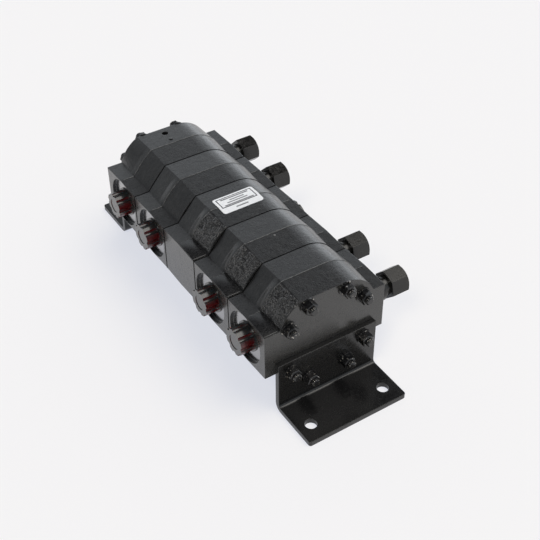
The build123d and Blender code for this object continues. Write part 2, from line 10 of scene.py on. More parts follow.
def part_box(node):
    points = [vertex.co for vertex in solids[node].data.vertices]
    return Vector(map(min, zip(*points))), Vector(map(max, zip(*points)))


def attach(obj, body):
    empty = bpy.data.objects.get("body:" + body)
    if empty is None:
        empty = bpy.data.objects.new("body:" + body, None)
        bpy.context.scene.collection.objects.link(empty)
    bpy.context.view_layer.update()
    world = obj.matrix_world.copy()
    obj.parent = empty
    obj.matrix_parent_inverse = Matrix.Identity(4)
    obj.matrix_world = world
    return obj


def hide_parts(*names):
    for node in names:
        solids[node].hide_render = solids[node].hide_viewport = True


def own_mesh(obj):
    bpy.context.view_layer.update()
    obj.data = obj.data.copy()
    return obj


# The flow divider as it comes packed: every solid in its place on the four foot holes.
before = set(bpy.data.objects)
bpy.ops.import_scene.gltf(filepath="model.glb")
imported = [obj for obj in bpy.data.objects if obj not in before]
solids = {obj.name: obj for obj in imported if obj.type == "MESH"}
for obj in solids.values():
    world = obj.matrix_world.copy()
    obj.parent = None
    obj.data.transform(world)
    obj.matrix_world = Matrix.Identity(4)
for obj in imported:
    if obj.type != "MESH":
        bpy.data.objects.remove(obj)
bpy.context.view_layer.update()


# The camera stands in front of the divider, to the left and well above it, and looks down along
# the crown, so that the front bracket is near and the relief caps stick out on the right.
image_width = 540
focal_pixels = 1027.8
sensor_width = 36.0
camera_place = Vector((-0.4882, -0.8490, 0.8802))
heading = math.radians(32.24)
descent = math.radians(40.71)
roll = math.radians(-0.72)

forward = Vector((math.sin(heading) * math.cos(descent),
                  math.cos(heading) * math.cos(descent),
                  -math.sin(descent)))
level_right = Vector((math.cos(heading), -math.sin(heading), 0))
level_up = level_right.cross(forward)
right = level_right * math.cos(roll) + level_up * math.sin(roll)
up = level_up * math.cos(roll) - level_right * math.sin(roll)
lens = bpy.data.cameras.new("camera")
lens.sensor_width = sensor_width
lens.lens = focal_pixels / image_width * sensor_width
lens.clip_start = 0.01
lens.clip_end = 50
camera = bpy.data.objects.new("camera", lens)
turned = Matrix((right, up, -forward)).transposed().to_4x4()
camera.matrix_world = Matrix.Translation(camera_place) @ turned
bpy.context.scene.collection.objects.link(camera)
bpy.context.scene.camera = camera
bpy.context.scene.view_settings.view_transform = "Standard"


# The divider stands on a sheet of pale card that runs out of sight. White screens stand around it
# up to a third of the way overhead, brightest low on the right behind, and the ceiling is dim.
# One broad lamp hangs overhead and a smaller one on the left.
floor_reach = 12.0
floor_mottle = 0.002
noise_span = (0.3, 0.7)
floor_shades = ((0.94, 0.84, 0.62, 1), (0.96, 0.86, 0.64, 1))
floor_glow = (0.90, 0.945, 1.08)
screen_glow = (0.76, 0.80, 0.84)
left_dimming = 0.35
left_from = -0.75
left_until = 0.05
floor_glow_share = 0.64
ceiling_glow = (0.05, 0.052, 0.058)
screen_top = 0.585
ceiling_start = 0.68
window_side = (0.76, 0.65, 0.0)
window_edge = 0.93
window_middle = 0.985
window_glow = 2.6
backdrop_colour = (0.915, 0.915, 0.915)
lamp_tint = (1.0, 0.97, 0.92)
lamps = {"lamp_overhead": (1.75, math.radians(50), Vector((0.32, -0.22, 0.92))),
         "lamp_left": (0.9, math.radians(17), Vector((-0.52, -0.36, 0.78)))}


def add(tree, kind, sockets={}, **settings):
    made = tree.nodes.new(kind)
    for name, value in settings.items():
        setattr(made, name, value)
    for socket, value in sockets.items():
        if isinstance(value, bpy.types.NodeSocket):
            tree.links.new(value, made.inputs[socket])
        else:
            made.inputs[socket].default_value = value
    return made


def finish(name, sockets):
    made = bpy.data.materials.new(name)
    made.use_nodes = True
    shader = made.node_tree.nodes["Principled BSDF"]
    for socket, value in sockets.items():
        shader.inputs[socket].default_value = value
    return made, made.node_tree, shader


def feed(shader, sockets):
    for socket, value in sockets.items():
        shader.id_data.links.new(value, shader.inputs[socket])


def shade(tree, amount, places, colours):
    ramp = add(tree, "ShaderNodeValToRGB", {"Fac": amount})
    for element, place, colour in zip(ramp.color_ramp.elements, places, colours):
        element.position = place
        element.color = colour
    return ramp.outputs["Color"]


def noise(tree, size, detail=3.0, rough=0.5, stretch=(1, 1, 1)):
    where = add(tree, "ShaderNodeTexCoord").outputs["Object"]
    if stretch != (1, 1, 1):
        where = add(tree, "ShaderNodeMapping",
                    {"Vector": where, "Scale": stretch}).outputs["Vector"]
    made = add(tree, "ShaderNodeTexNoise",
               {"Vector": where, "Scale": 1 / size, "Detail": detail, "Roughness": rough})
    return made.outputs["Fac"]


def combine(tree, operation, first, second):
    return add(tree, "ShaderNodeMath", {0: first, 1: second}, operation=operation).outputs[0]


def spread(tree, value, span, result):
    made = add(tree, "ShaderNodeMapRange", {"Value": value, "From Min": span[0],
                                            "From Max": span[1], "To Min": result[0],
                                            "To Max": result[1]})
    return made.outputs["Result"]


def seen_directly(tree):
    path = add(tree, "ShaderNodeLightPath")
    through = combine(tree, "MAXIMUM", path.outputs["Is Glossy Ray"],
                      path.outputs["Is Transmission Ray"])
    return combine(tree, "MAXIMUM", path.outputs["Is Camera Ray"], through)


card, tree, shader = finish("pale_card", {"Roughness": 0.75, "Specular IOR Level": 0.3})
feed(shader, {"Base Color": shade(tree, noise(tree, floor_mottle), noise_span, floor_shades)})
lit = add(tree, "ShaderNodeEmission", {"Color": (*floor_glow, 1), "Strength": 1.0}).outputs[0]
share = combine(tree, "MULTIPLY", seen_directly(tree), floor_glow_share)
mixed = add(tree, "ShaderNodeMixShader", {0: share, 1: shader.outputs[0], 2: lit}).outputs[0]
tree.links.new(mixed, tree.nodes["Material Output"].inputs["Surface"])
sheet = bpy.data.meshes.new("floor")
edge = floor_reach / 2
sheet.from_pydata([(-edge, -edge, 0), (edge, -edge, 0), (edge, edge, 0), (-edge, edge, 0)],
                  [], [(0, 1, 2, 3)])
sheet.materials.append(card)
floor = bpy.data.objects.new("floor", sheet)
bpy.context.scene.collection.objects.link(floor)

world = bpy.data.worlds.new("studio")
bpy.context.scene.world = world
world.use_nodes = True
tree = world.node_tree
tree.nodes.clear()
direction = add(tree, "ShaderNodeTexCoord").outputs["Generated"]
way = add(tree, "ShaderNodeSeparateXYZ", {"Vector": direction})
glow = shade(tree, way.outputs["Z"], (screen_top, ceiling_start),
             ((*screen_glow, 1), (*ceiling_glow, 1)))
side = spread(tree, way.outputs["X"], (left_from, left_until), (left_dimming, 1.0))
towards = add(tree, "ShaderNodeVectorMath", {0: direction, 1: window_side},
              operation="DOT_PRODUCT").outputs["Value"]
side = combine(tree, "MULTIPLY", side,
               spread(tree, towards, (window_edge, window_middle), (1.0, window_glow)))
room = add(tree, "ShaderNodeBackground", {"Color": glow, "Strength": side}).outputs[0]
paper = add(tree, "ShaderNodeBackground",
            {"Color": (*backdrop_colour, 1), "Strength": 1.0}).outputs[0]
path = add(tree, "ShaderNodeLightPath")
seen = combine(tree, "MAXIMUM", path.outputs["Is Camera Ray"],
               path.outputs["Is Transmission Ray"])
sky = add(tree, "ShaderNodeMixShader", {0: seen, 1: room, 2: paper}).outputs[0]
add(tree, "ShaderNodeOutputWorld", {"Surface": sky})

for name, (strength, breadth, comes_from) in lamps.items():
    lamp = bpy.data.lights.new(name, "SUN")
    lamp.energy = strength
    lamp.color = lamp_tint
    lamp.angle = breadth
    lamp_object = bpy.data.objects.new(name, lamp)
    lamp_object.rotation_euler = comes_from.to_track_quat("Z", "Y").to_euler()
    bpy.context.scene.collection.objects.link(lamp_object)


# The five castings are grey iron from sand moulds, machined on the two side faces and on the
# faces that are bolted together, and sprayed satin black once the whole stack is bolted up.
# The sand shows through the paint on the crown and the slopes, less on the machined faces.
cast_colours = ((0.005, 0.005, 0.0055, 1), (0.015, 0.015, 0.016, 1))
sand_grain = 0.0015
sand_swell = 0.006
sand_depth = 0.00045
swell_depth = 0.0006
smooth_share = 0.6
rough_share = 0.8
machined_share = 0.04
cast_roughness = (0.24, 0.42)
machined_roughness = (0.2, 0.3)
edge_rounding = 0.0012
flat_face_sheen_colour = (0.0185, 0.0185, 0.019, 1)
rough_halves = ((-0.1698, 0.0191), (-0.0937, 0.0191), (-0.0182, 0.0183))
flat_span = (0.985, 0.999)
paint_span = (0.12, 0.4)
spotface_from = 0.0742
spotface_to = 0.0768
spotface_facing = 0.9
bare_iron = (0.3, 0.3, 0.305, 1)
bare_roughness = 0.16
edge_samples = 6
black_coat = {"Specular IOR Level": 0.5, "Coat Weight": 0.35, "Coat Roughness": 0.16}


def magnitude(tree, value):
    return combine(tree, "ABSOLUTE", value, 0.0)


def within(tree, value, centre, half):
    distance = magnitude(tree, combine(tree, "SUBTRACT", value, centre))
    return combine(tree, "LESS_THAN", distance, half)


def position(tree):
    where = add(tree, "ShaderNodeTexCoord").outputs["Object"]
    return add(tree, "ShaderNodeSeparateXYZ", {"Vector": where}).outputs


def direction_faced(tree):
    normal = add(tree, "ShaderNodeNewGeometry").outputs["True Normal"]
    return add(tree, "ShaderNodeSeparateXYZ", {"Vector": normal}).outputs


def between(tree, factor, first, second):
    return add(tree, "ShaderNodeMix", {"Factor": factor, 2: first, 3: second}).outputs[0]


def tinted(tree, factor, first, second):
    return add(tree, "ShaderNodeMix", {"Factor": factor, 6: first, 7: second},
               data_type="RGBA").outputs[2]


def rounded(tree, radius):
    return add(tree, "ShaderNodeBevel", {"Radius": radius}, samples=edge_samples).outputs[0]


def bump(tree, height, distance, strength=1.0, normal=None):
    sockets = {"Strength": strength, "Distance": distance, "Height": height}
    if normal:
        sockets["Normal"] = normal
    return add(tree, "ShaderNodeBump", sockets).outputs[0]


cast_paint, tree, shader = finish("cast_paint", black_coat)
grain = noise(tree, sand_grain, 4.0, 0.62)
swell = noise(tree, sand_swell, 2.0, 0.5)
facing = direction_faced(tree)
sideways = magnitude(tree, facing["X"])
endways = magnitude(tree, facing["Y"])
flat = combine(tree, "MAXIMUM", spread(tree, sideways, flat_span, (0, 1)),
               spread(tree, endways, flat_span, (0, 1)))
here = position(tree)
sandy = smooth_share
for middle, half in rough_halves:
    rough_half = within(tree, here["Y"], middle, half)
    sandy = combine(tree, "MAXIMUM", sandy, combine(tree, "MULTIPLY", rough_half, rough_share))
relief = between(tree, flat, sandy, machined_share)
swollen = bump(tree, swell, swell_depth, relief, rounded(tree, edge_rounding))
bumped = bump(tree, grain, sand_depth, relief, swollen)
spotface = within(tree, magnitude(tree, here["X"]), (spotface_from + spotface_to) / 2,
                  (spotface_to - spotface_from) / 2)
spotface = combine(tree, "MULTIPLY", spotface,
                   combine(tree, "GREATER_THAN", sideways, spotface_facing))
painted = between(tree, flat, spread(tree, grain, noise_span, cast_roughness),
                  spread(tree, swell, noise_span, machined_roughness))
paint = shade(tree, combine(tree, "MULTIPLY", grain, swell), paint_span, cast_colours)
# The side and end faces are painted a lighter colour than the rest, as a painted reflection of the
# pale floor in their smoother paint.
paint = tinted(tree, flat, paint, flat_face_sheen_colour)
feed(shader, {"Roughness": between(tree, spotface, painted, bare_roughness),
              "Base Color": tinted(tree, spotface, paint, bare_iron),
              "Metallic": spotface, "Normal": bumped})


def dress(names, material):
    for name in names:
        materials = solids[name].data.materials
        if not len(materials):
            materials.append(material)
        for place in range(len(materials)):
            materials[place] = material


gear_sections = [1, 2, 3, 4]
dress([f"gear_section_{k}" for k in gear_sections] + ["inlet_section"], cast_paint)


# Where the two halves of each sand mould met, a thin fin of iron was left and ground down by eye.
# It runs round the casting at mid length, and it is mottled light grey as a painted highlight along
# the ridge.
axis_height = 0.0853
ridges = {"gear_section_1": -0.1508, "gear_section_2": -0.0746, "inlet_section": 0.0,
          "gear_section_3": 0.0746, "gear_section_4": 0.1508}
fin_ahead = 0.0006
fin_radius = 0.00045
fin_stop = 0.0794
fin_lowest = 0.0305
fin_points = 360
fin_start = 0.12
fin_highlight_colours = ((0.015, 0.015, 0.0155, 1), (0.11, 0.11, 0.109, 1))
fin_highlight_mottle = 0.004
fin_waver = 300.0
fin_thickness = (0.6, 1.3)
fin_sides = 6

# The fin's colour runs from black to light grey as a painted highlight along the ridge.
fin_paint, tree, shader = finish("fin_paint", {**black_coat, "Roughness": 0.28})
feed(shader, {"Base Color": shade(tree, noise(tree, fin_highlight_mottle, 3.0, 0.6), (0.35, 0.65),
                                  fin_highlight_colours)})


def new_group(name, sizes):
    group = bpy.data.node_groups.new(name, "GeometryNodeTree")
    for size, kind in (("Geometry", "Geometry"), *sizes):
        group.interface.new_socket(size, in_out="INPUT", socket_type="NodeSocket" + kind)
    group.interface.new_socket("Geometry", in_out="OUTPUT", socket_type="NodeSocketGeometry")
    return group, group.nodes.new("NodeGroupInput").outputs


def close_group(group, geometry, material):
    solid = add(group, "GeometryNodeRealizeInstances", {"Geometry": geometry}).outputs[0]
    painted = add(group, "GeometryNodeSetMaterial", {"Geometry": solid, "Material": material})
    add(group, "NodeGroupOutput", {0: painted.outputs[0]})


def grow(name, mesh, group, sizes):
    seed = bpy.data.objects.new(name, mesh)
    bpy.context.scene.collection.objects.link(seed)
    maker = seed.modifiers.new(name, "NODES")
    maker.node_group = group
    for socket in group.interface.items_tree:
        if socket.item_type == "SOCKET" and socket.name in sizes:
            maker[socket.identifier] = sizes[socket.name]
    bpy.context.view_layer.update()
    state = bpy.context.evaluated_depsgraph_get()
    made = bpy.data.meshes.new_from_object(seed.evaluated_get(state))
    bpy.data.objects.remove(seed)
    piece = bpy.data.objects.new(name, made)
    bpy.context.scene.collection.objects.link(piece)
    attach(piece, "casing")
    return piece


fin_group, given = new_group("parting_fin", (("Casting", "Object"), ("Axis Height", "Float"),
                                             ("Radius", "Float"), ("Stop", "Float"),
                                             ("Lowest", "Float")))
here = add(fin_group, "GeometryNodeInputPosition").outputs[0]
parts = add(fin_group, "ShaderNodeSeparateXYZ", {0: here}).outputs
centre = add(fin_group, "ShaderNodeCombineXYZ", {"Y": parts["Y"], "Z": given["Axis Height"]})
inward = add(fin_group, "ShaderNodeVectorMath", {0: centre.outputs[0], 1: here},
             operation="SUBTRACT").outputs[0]
casting = add(fin_group, "GeometryNodeObjectInfo", {"Object": given["Casting"]})
hits = add(fin_group, "GeometryNodeRaycast",
           {"Target Geometry": casting.outputs["Geometry"], "Source Position": here,
            "Ray Direction": inward, "Ray Length": 1.0}).outputs
laid = add(fin_group, "GeometryNodeSetPosition",
           {"Geometry": given["Geometry"], "Position": hits["Hit Position"]}).outputs[0]
far_out = combine(fin_group, "GREATER_THAN", magnitude(fin_group, parts["X"]), given["Stop"])
rise = combine(fin_group, "SUBTRACT", parts["Z"], given["Axis Height"])
low = combine(fin_group, "LESS_THAN", magnitude(fin_group, rise), given["Lowest"])
trimmed = add(fin_group, "GeometryNodeDeleteGeometry",
              {"Geometry": laid, "Selection": combine(fin_group, "MAXIMUM", far_out, low)})
line = add(fin_group, "GeometryNodeMeshToCurve", {"Mesh": trimmed.outputs[0]}).outputs[0]
waver = add(fin_group, "ShaderNodeTexNoise", {"Scale": fin_waver}).outputs["Fac"]
thickness = spread(fin_group, waver, noise_span, fin_thickness)
line = add(fin_group, "GeometryNodeSetCurveRadius",
           {"Curve": line, "Radius": thickness}).outputs[0]
bead = add(fin_group, "GeometryNodeCurvePrimitiveCircle",
           {"Resolution": fin_sides, "Radius": given["Radius"]}).outputs[0]
fin = add(fin_group, "GeometryNodeCurveToMesh",
          {"Curve": line, "Profile Curve": bead}).outputs[0]
close_group(fin_group, fin, fin_paint)


def run_round(name, casting, y, radius, group, stop, lowest):
    ring = bpy.data.meshes.new("ring")
    angles = [2 * math.pi * k / fin_points for k in range(fin_points)]
    ring.from_pydata([(fin_start * math.cos(a), y, axis_height + fin_start * math.sin(a))
                      for a in angles],
                     [(k, (k + 1) % fin_points) for k in range(fin_points)], [])
    grow(name, ring, group, {"Casting": solids[casting], "Axis Height": axis_height,
                             "Radius": radius, "Stop": stop, "Lowest": lowest})


for name, ridge in ridges.items():
    run_round(f"parting_fin_{name}", name, ridge - fin_ahead, fin_radius, fin_group,
              fin_stop, fin_lowest)


# The castings meet metal to metal, and their edges are broken by a file, so a narrow groove runs at
# each joint. A matte black bead laid along it is painted shade in that groove.
seams = {"gear_section_1": -0.1127, "gear_section_2": -0.0365, "inlet_section": 0.0365,
         "gear_section_3": 0.1127}
seam_ahead = 0.0003
seam_radius = 0.00055
seam_stop = 0.081
seam_lowest = 0.0
seam_mottle = 0.002
seam_shade_colours = ((0.001, 0.001, 0.001, 1), (0.003, 0.003, 0.003, 1))

seam_shade_black, tree, shader = finish("seam_shade_black", {"Specular IOR Level": 0.05, "Roughness": 1.0})
feed(shader, {"Base Color": shade(tree, noise(tree, seam_mottle), noise_span, seam_shade_colours)})
seam_group = fin_group.copy()
for node in seam_group.nodes:
    if node.bl_idname == "GeometryNodeSetMaterial":
        node.inputs["Material"].default_value = seam_shade_black
for name, seam in seams.items():
    run_round(f"joint_line_{name}", name, seam - seam_ahead, seam_radius, seam_group,
              seam_stop, seam_lowest)


# On the front half of the three front castings the sand had washed out of the mould, so the left
# slopes came out lumpy. The lumps were painted over as they were, flecked light grey as painted
# glints.
lump_grid = 0.0006
lump_size = 0.0040
lump_stretch = 1.9
lump_height = 0.0010
lump_fade = 0.0022
lump_bury = 0.0003
lump_rear_haste = 3
lump_lift = 0.3
slope_foot = Vector((-0.0612, 0, 0.0325))
slope_top = Vector((-0.0343, 0, 0.0615))
slope_reach = 0.02
lumpy_halves = {"gear_section_1": (-0.1887, -0.1510), "gear_section_2": (-0.1124, -0.0748),
                "inlet_section": (-0.0362, -0.0002)}
speck_size = 0.0012
speck_depth = 0.0004
speck_roughness = (0.18, 0.4)
speck_glint_colours = ((0.007, 0.007, 0.0075, 1), (0.2, 0.2, 0.204, 1))

sand_paint, tree, shader = finish("sand_paint", {"Specular IOR Level": 0.5, "Coat Weight": 0.5,
                                                 "Coat Roughness": 0.14})
specks = noise(tree, speck_size, 4.0, 0.7)
# The light grey flecks in the colour are painted glints on the lumps.
feed(shader, {"Normal": bump(tree, specks, speck_depth),
              "Roughness": spread(tree, specks, noise_span, speck_roughness),
              "Base Color": shade(tree, specks, (0.5, 0.76), speck_glint_colours)})


def skin_of(name):
    return BVHTree.FromPolygons([v.co for v in solids[name].data.vertices],
                                [tuple(p.vertices) for p in solids[name].data.polygons])


def slope_frame(side, past_foot=0.0, past_top=0.0):
    foot = Vector((slope_foot.x - past_foot, 0, axis_height + slope_foot.z * side))
    top = Vector((slope_top.x + past_top, 0, axis_height + (slope_top.z + past_top) * side))
    rise = top - foot
    return foot, rise, Vector((-rise.z * side, 0, rise.x * side)).normalized()


def drop_on(skin, place, outward):
    hit = skin.ray_cast(place + outward * slope_reach, -outward)[0]
    return place if hit is None else hit


def weave(shape, corners, rows, columns):
    for row in range(rows):
        for column in range(columns):
            first = row * (columns + 1) + column
            shape.faces.new((corners[first], corners[first + 1], corners[first + columns + 2],
                             corners[first + columns + 1]))


def keep_bmesh(shape, name, material, smooth=True):
    bmesh.ops.recalc_face_normals(shape, faces=shape.faces)
    mesh = bpy.data.meshes.new(name)
    shape.to_mesh(mesh)
    shape.free()
    if smooth:
        mesh.shade_smooth()
    mesh.materials.append(material)
    piece = bpy.data.objects.new(name, mesh)
    bpy.context.scene.collection.objects.link(piece)
    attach(piece, "casing")


lumps = bmesh.new()
for name, (front, rear) in lumpy_halves.items():
    skin = skin_of(name)
    for side in (1, -1):
        foot, rise, outward = slope_frame(side)
        rows = round(rise.length / lump_grid)
        columns = round((rear - front) / lump_grid)
        corners = []
        for row in range(rows + 1):
            for column in range(columns + 1):
                place = foot + rise * row / rows
                place.y = front + (rear - front) * column / columns
                hit = drop_on(skin, place, outward)
                rim = min(row / rows * rise.length, (rows - row) / rows * rise.length,
                          hit.y - front, (rear - hit.y) * lump_rear_haste)
                rise_in = min(max(rim / lump_fade, 0), 1)
                spot = Vector((hit.x, hit.y / lump_stretch, hit.z)) / lump_size
                wave = max(mnoise.fractal(spot, 0.6, 2.1, 4) + lump_lift, 0)
                corners.append(lumps.verts.new(hit + outward * (lump_height * wave * rise_in
                                                                - lump_bury * (1 - rise_in))))
        weave(lumps, corners, rows, columns)
keep_bmesh(lumps, "sand_lumps", sand_paint)


# Behind each ridge the two halves of the mould were out of line, so the front half stands higher.
# The step was filled and ground by hand into a short ramp, painted with the rest.
ramp_length = 0.0135
ramp_rows = 44
ramp_columns = 16
ramp_bury = 0.00015
ramp_ahead = 0.0002
ramp_past_foot = 0.0006
ramp_past_top = 0.0003

ramps = bmesh.new()
for name, ridge in ridges.items():
    skin = skin_of(name)
    for side in (1, -1):
        foot, rise, outward = slope_frame(side, ramp_past_foot, ramp_past_top)
        corners = []
        for row in range(ramp_rows + 1):
            place = foot + rise * row / ramp_rows
            place.y = ridge - fin_ahead
            crest = drop_on(skin, place, outward)
            for column in range(ramp_columns + 1):
                along = column / ramp_columns
                place.y = ridge - ramp_ahead + ramp_length * along
                under = drop_on(skin, place, outward)
                step = max((crest - under).dot(outward), 0)
                ease = 1 - along * along * (3 - 2 * along)
                corners.append(ramps.verts.new(under + outward * (step * ease
                                                                  - ramp_bury * along)))
        weave(ramps, corners, ramp_rows, ramp_columns)
keep_bmesh(ramps, "ridge_ramps", cast_paint)


# The three lumpy castings have a smooth raised pad on the left shoulder of their front half,
# where the riser was cut off. Its edges are rounded and catch the light.
pad_left = -0.0797
pad_right = -0.0618
pad_rise = 0.0012
pad_bury = 0.0006
pad_round = 0.0008
pad_margin = 0.0008
pad_round_steps = 3
probe_height = 0.2
down = Vector((0, 0, -1))
film_size = 0.0025
film_roughness = (0.22, 0.36)
pad_colours = ((0.005, 0.005, 0.0056, 1), (0.010, 0.010, 0.011, 1))

pad_paint, tree, shader = finish("pad_paint", black_coat)
film = noise(tree, film_size, 3.0, 0.6)
feed(shader, {"Roughness": spread(tree, film, noise_span, film_roughness),
              "Base Color": shade(tree, film, (0.35, 0.65), pad_colours)})
for name, (front, rear) in lumpy_halves.items():
    skin = skin_of(name)
    pad = bmesh.new()
    rings = []
    for lift in (-pad_bury, pad_rise):
        ring = []
        for x, y in ((pad_left, front + pad_margin), (pad_right, front + pad_margin),
                     (pad_right, rear - pad_margin), (pad_left, rear - pad_margin)):
            under = skin.ray_cast(Vector((x, y, probe_height)), down)[0]
            ring.append(pad.verts.new((x, y, under.z + lift)))
        rings.append(ring)
    pad.faces.new(rings[0][::-1])
    pad.faces.new(rings[1])
    for turn in range(4):
        after = (turn + 1) % 4
        pad.faces.new((rings[0][turn], rings[0][after], rings[1][after], rings[1][turn]))
    upper = [edge for edge in pad.edges if not all(corner in rings[0] for corner in edge.verts)]
    bmesh.ops.bevel(pad, geom=upper, offset=pad_round, segments=pad_round_steps, profile=0.5,
                    affect="EDGES")
    keep_bmesh(pad, f"riser_pad_{name}", pad_paint)


# A small three-sided pip stands on the crown of the second casting, left by a vent in the mould.
# It was knocked off short and has a bright facet.
pip_place = Vector((0.0036, -0.0801, probe_height))
pip_radius = 0.0021
pip_height = 0.0011
pip_lean = 0.0004
pip_corners = (10, 130, 250)
pip_mottle = 0.0008
pip_colours = ((0.12, 0.12, 0.12, 1), (0.3, 0.3, 0.295, 1))

pip_paint, tree, shader = finish("pip_paint", {"Specular IOR Level": 0.5, "Roughness": 0.3})
feed(shader, {"Base Color": shade(tree, noise(tree, pip_mottle), (0.35, 0.65), pip_colours)})
seat = skin_of("gear_section_2").ray_cast(pip_place, down)[0]
pip = bmesh.new()
ring = [pip.verts.new(seat + Vector((pip_radius * math.cos(turn), pip_radius * math.sin(turn),
                                     -pip_height / 4)))
        for turn in map(math.radians, pip_corners)]
tip = pip.verts.new(seat + Vector((0, pip_lean, pip_height)))
for place in range(3):
    pip.faces.new((ring[place], ring[(place + 1) % 3], tip))
pip.faces.new(ring[::-1])
keep_bmesh(pip, "vent_pip", pip_paint, smooth=False)


# The two foot brackets are bent from steel plate, under the lower studs of the end castings.
# They are sprayed gloss black, which lies a little uneven, and their edges are drawn slightly
# rounded.
bracket_colours = ((0.005, 0.005, 0.0052, 1), (0.009, 0.009, 0.0095, 1))
bracket_roughness = (0.16, 0.3)
spray_size = 0.004
spray_depth = 0.00005
dust_size = 0.0009
bracket_plate = 0.00635

bracket_gloss, tree, shader = finish("bracket_gloss", {"Specular IOR Level": 0.5})
spray = noise(tree, spray_size, 3.0, 0.6)
dust = noise(tree, dust_size, 2.0, 0.5)
feed(shader, {"Normal": bump(tree, spray, spray_depth, normal=rounded(tree, edge_rounding)),
              "Roughness": spread(tree, spray, noise_span, bracket_roughness),
              "Base Color": shade(tree, dust, (0.35, 0.75), bracket_colours)})
dress(["front_bracket", "rear_bracket"], bracket_gloss)


# Eight long studs run through the stack. Each has a hexagon nut on a washer at both ends, black
# all over from the same spray, shiny, and rubbed to bare metal in scattered spots.
fastener_colours = ((0.004, 0.004, 0.0045, 1), (0.015, 0.015, 0.016, 1))
rubbed_steel = (0.62, 0.59, 0.54, 1)
fastener_roughness = (0.07, 0.18)
fastener_rounding = 0.0004
patch_size = 0.0022
patch_depth = 0.00006
rub_size = 0.003
rub_span = (0.66, 0.72)

fastener_gloss, tree, shader = finish("fastener_gloss", {"Specular IOR Level": 0.6})
patch = noise(tree, patch_size, 3.0, 0.6)
rubbed = spread(tree, noise(tree, rub_size, 2.0, 0.5), rub_span, (0, 1))
paint = shade(tree, patch, (0.45, 0.75), fastener_colours)
feed(shader, {"Normal": bump(tree, patch, patch_depth, 0.6, rounded(tree, fastener_rounding)),
              "Roughness": spread(tree, patch, noise_span, fastener_roughness),
              "Base Color": tinted(tree, rubbed, paint, rubbed_steel), "Metallic": rubbed})
dress(["tie_studs", "washers", "nuts"], fastener_gloss)


# The stud ends stand out of their nuts with rolled threads, sixteen to the inch. Paint and bare
# steel lie on them in patches.
stud_places = [(x * a, axis_height + z * b) for x, z in ((0.0496, 0.0298), (0.0251, 0.0518))
               for a in (-1, 1) for b in (-1, 1)]
thread_radius = 0.0046
thread_pitch = 0.0015875
thread_height = 0.0003
thread_length = 0.0034
thread_set_back = 0.0006
thread_turn_points = 28
wear_size = 0.0022
wear_span = (0.45, 0.55)
thread_colours = ((0.02, 0.02, 0.02, 1), (0.42, 0.40, 0.36, 1))
stud_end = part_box("tie_studs")[1].y

thread_steel, tree, shader = finish("thread_steel", {"Roughness": 0.22, "Coat Weight": 0.35,
                                                     "Coat Roughness": 0.12})
wear = noise(tree, wear_size, 3.0, 0.6)
feed(shader, {"Metallic": spread(tree, wear, wear_span, (0, 1)),
              "Base Color": shade(tree, wear, (0.45, 0.6), thread_colours)})

thread_group, given = new_group("stud_threads", (("Radius", "Float"), ("Pitch", "Float"),
                                                 ("Length", "Float"), ("Height", "Float")))
rounds = combine(thread_group, "DIVIDE", given["Length"], given["Pitch"])
helix = add(thread_group, "GeometryNodeCurveSpiral",
            {"Resolution": thread_turn_points, "Rotations": rounds, "Start Radius": given["Radius"],
             "End Radius": given["Radius"], "Height": given["Length"]}).outputs[0]
crest = add(thread_group, "GeometryNodeCurvePrimitiveCircle",
            {"Resolution": 4, "Radius": given["Height"]}).outputs[0]
thread = add(thread_group, "GeometryNodeCurveToMesh",
             {"Curve": helix, "Profile Curve": crest, "Fill Caps": True}).outputs[0]
turn = add(thread_group, "GeometryNodeInputNamedAttribute", {"Name": "turn"},
           data_type="FLOAT_VECTOR").outputs[0]
placed = add(thread_group, "GeometryNodeInstanceOnPoints",
             {"Points": given["Geometry"], "Instance": thread, "Rotation": turn}).outputs[0]
close_group(thread_group, placed, thread_steel)

ends = []
for x, z in stud_places:
    for facing in (-1, 1):
        tip = stud_end - (0 if z < axis_height else bracket_plate)
        ends.append((x, facing * (tip - thread_set_back - thread_length), z, facing))
points = bpy.data.meshes.new("stud_ends")
points.from_pydata([end[:3] for end in ends], [], [])
turns = points.attributes.new("turn", "FLOAT_VECTOR", "POINT")
for item, end in zip(turns.data, ends):
    item.vector = (-end[3] * math.pi / 2, 0, 0)
grow("stud_threads", points, thread_group,
     {"Radius": thread_radius, "Pitch": thread_pitch, "Length": thread_length,
      "Height": thread_height})


# Four relief valves are screwed into the right side. The collar, neck and hexagon cap are turned
# from steel bar and sprayed with the rest, so fine turning lines show in the gloss.
valve_colours = ((0.006, 0.0057, 0.0054, 1), (0.013, 0.0123, 0.0117, 1))
valve_roughness = (0.16, 0.3)
valve_rounding = 0.0005
turning_size = 0.0006
turning_depth = 0.00003
blotch_size = 0.005

valve_gloss, tree, shader = finish("valve_gloss", {"Specular IOR Level": 0.5})
turning = noise(tree, turning_size, 2.0, 0.5, (6.0, 0.6, 0.6))
blotch = noise(tree, blotch_size, 3.0, 0.6)
feed(shader, {"Normal": bump(tree, turning, turning_depth, 0.6, rounded(tree, valve_rounding)),
              "Roughness": spread(tree, blotch, noise_span, valve_roughness),
              "Base Color": shade(tree, blotch, (0.35, 0.7), valve_colours)})
for k in gear_sections:
    dress([f"relief_body_{k}", f"relief_cap_{k}"], valve_gloss)


# Inside, the poppets, their seats, the adjusters, the gears, the splined quills and the dowels are
# hardened alloy steel, ground bright, with the faint lines of the grinding wheel.
steel_colours = ((0.36, 0.36, 0.37, 1), (0.5, 0.5, 0.51, 1))
steel_roughness = (0.2, 0.36)
grinding_size = 0.0005
grinding_depth = 0.00002
stain_size = 0.008

